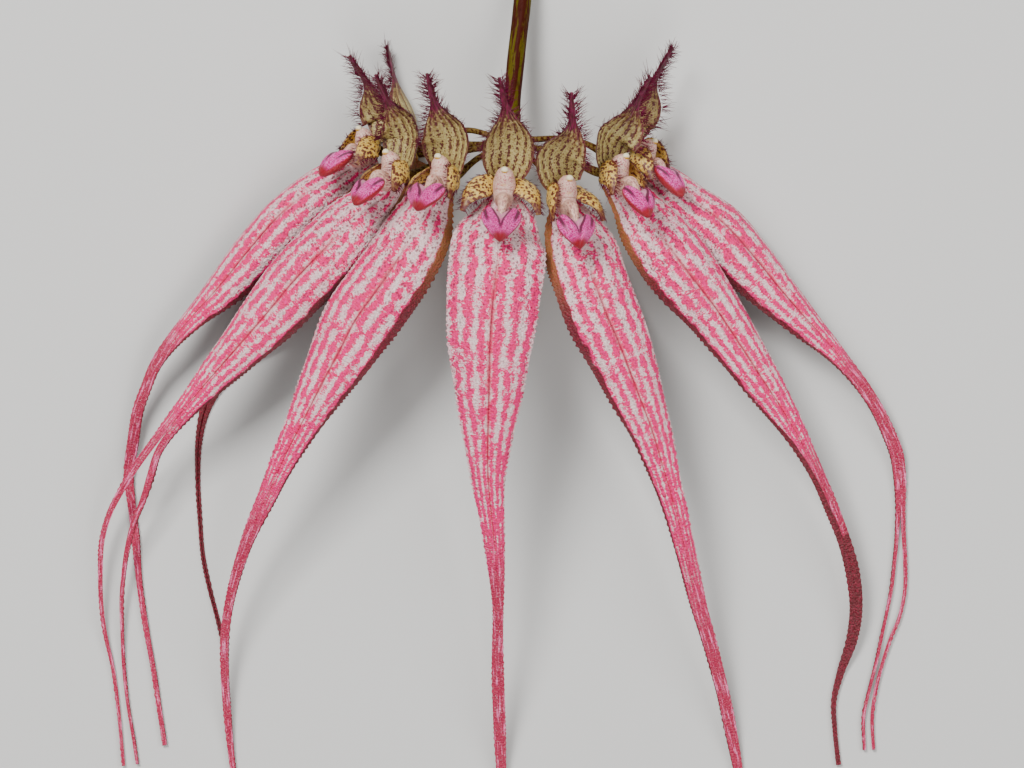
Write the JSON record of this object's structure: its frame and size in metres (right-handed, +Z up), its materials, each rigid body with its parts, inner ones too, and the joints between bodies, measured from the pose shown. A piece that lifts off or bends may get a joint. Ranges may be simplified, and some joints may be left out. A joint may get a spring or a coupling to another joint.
{
  "type": "bulbophyllum orchid",
  "caption": "Cut umbel of a bulbophyllum orchid lying on its back: a fan of flowers with long striped tails on one stalk.",
  "frame": {"origin": "on the table, under the middle of the umbel's footprint", "axes": "+Z up from the table, +Y along the stalk towards its cut end, and the long sepals trail towards -Y"},
  "size_m": [0.1643, 0.203, 0.0342],
  "materials": {
    "sepal": "soft, waxy, cream with broken rose stripes",
    "hood": "soft, yellow green with rows of maroon spots",
    "petal": "soft, ochre yellow with maroon spots",
    "column": "waxy, pale pink cream",
    "lip": "fleshy, granular magenta",
    "stalk": "smooth, olive green streaked with maroon"
  },
  "bodies": {
    "root": {"scape": "stalk", "synsepal_1": "sepal", "dorsal_sepal_1": "hood", "petal_left_1": "petal", "petal_right_1": "petal", "column_1": "column", "lip_1": "lip", "pedicel_1": "stalk", "synsepal_2": "sepal", "dorsal_sepal_2": "hood", "petal_left_2": "petal", "petal_right_2": "petal", "column_2": "column", "lip_2": "lip", "pedicel_2": "stalk", "synsepal_3": "sepal", "dorsal_sepal_3": "hood", "petal_left_3": "petal", "petal_right_3": "petal", "column_3": "column", "lip_3": "lip", "pedicel_3": "stalk", "synsepal_4": "sepal", "dorsal_sepal_4": "hood", "petal_left_4": "petal", "petal_right_4": "petal", "column_4": "column", "lip_4": "lip", "pedicel_4": "stalk", "synsepal_5": "sepal", "dorsal_sepal_5": "hood", "petal_left_5": "petal", "petal_right_5": "petal", "column_5": "column", "lip_5": "lip", "pedicel_5": "stalk", "synsepal_6": "sepal", "dorsal_sepal_6": "hood", "petal_left_6": "petal", "petal_right_6": "petal", "column_6": "column", "lip_6": "lip", "pedicel_6": "stalk", "synsepal_7": "sepal", "dorsal_sepal_7": "hood", "petal_left_7": "petal", "petal_right_7": "petal", "column_7": "column", "lip_7": "lip", "pedicel_7": "stalk", "synsepal_8": "sepal", "dorsal_sepal_8": "hood", "petal_left_8": "petal", "petal_right_8": "petal", "column_8": "column", "lip_8": "lip", "pedicel_8": "stalk"}
  },
  "joints": []
}
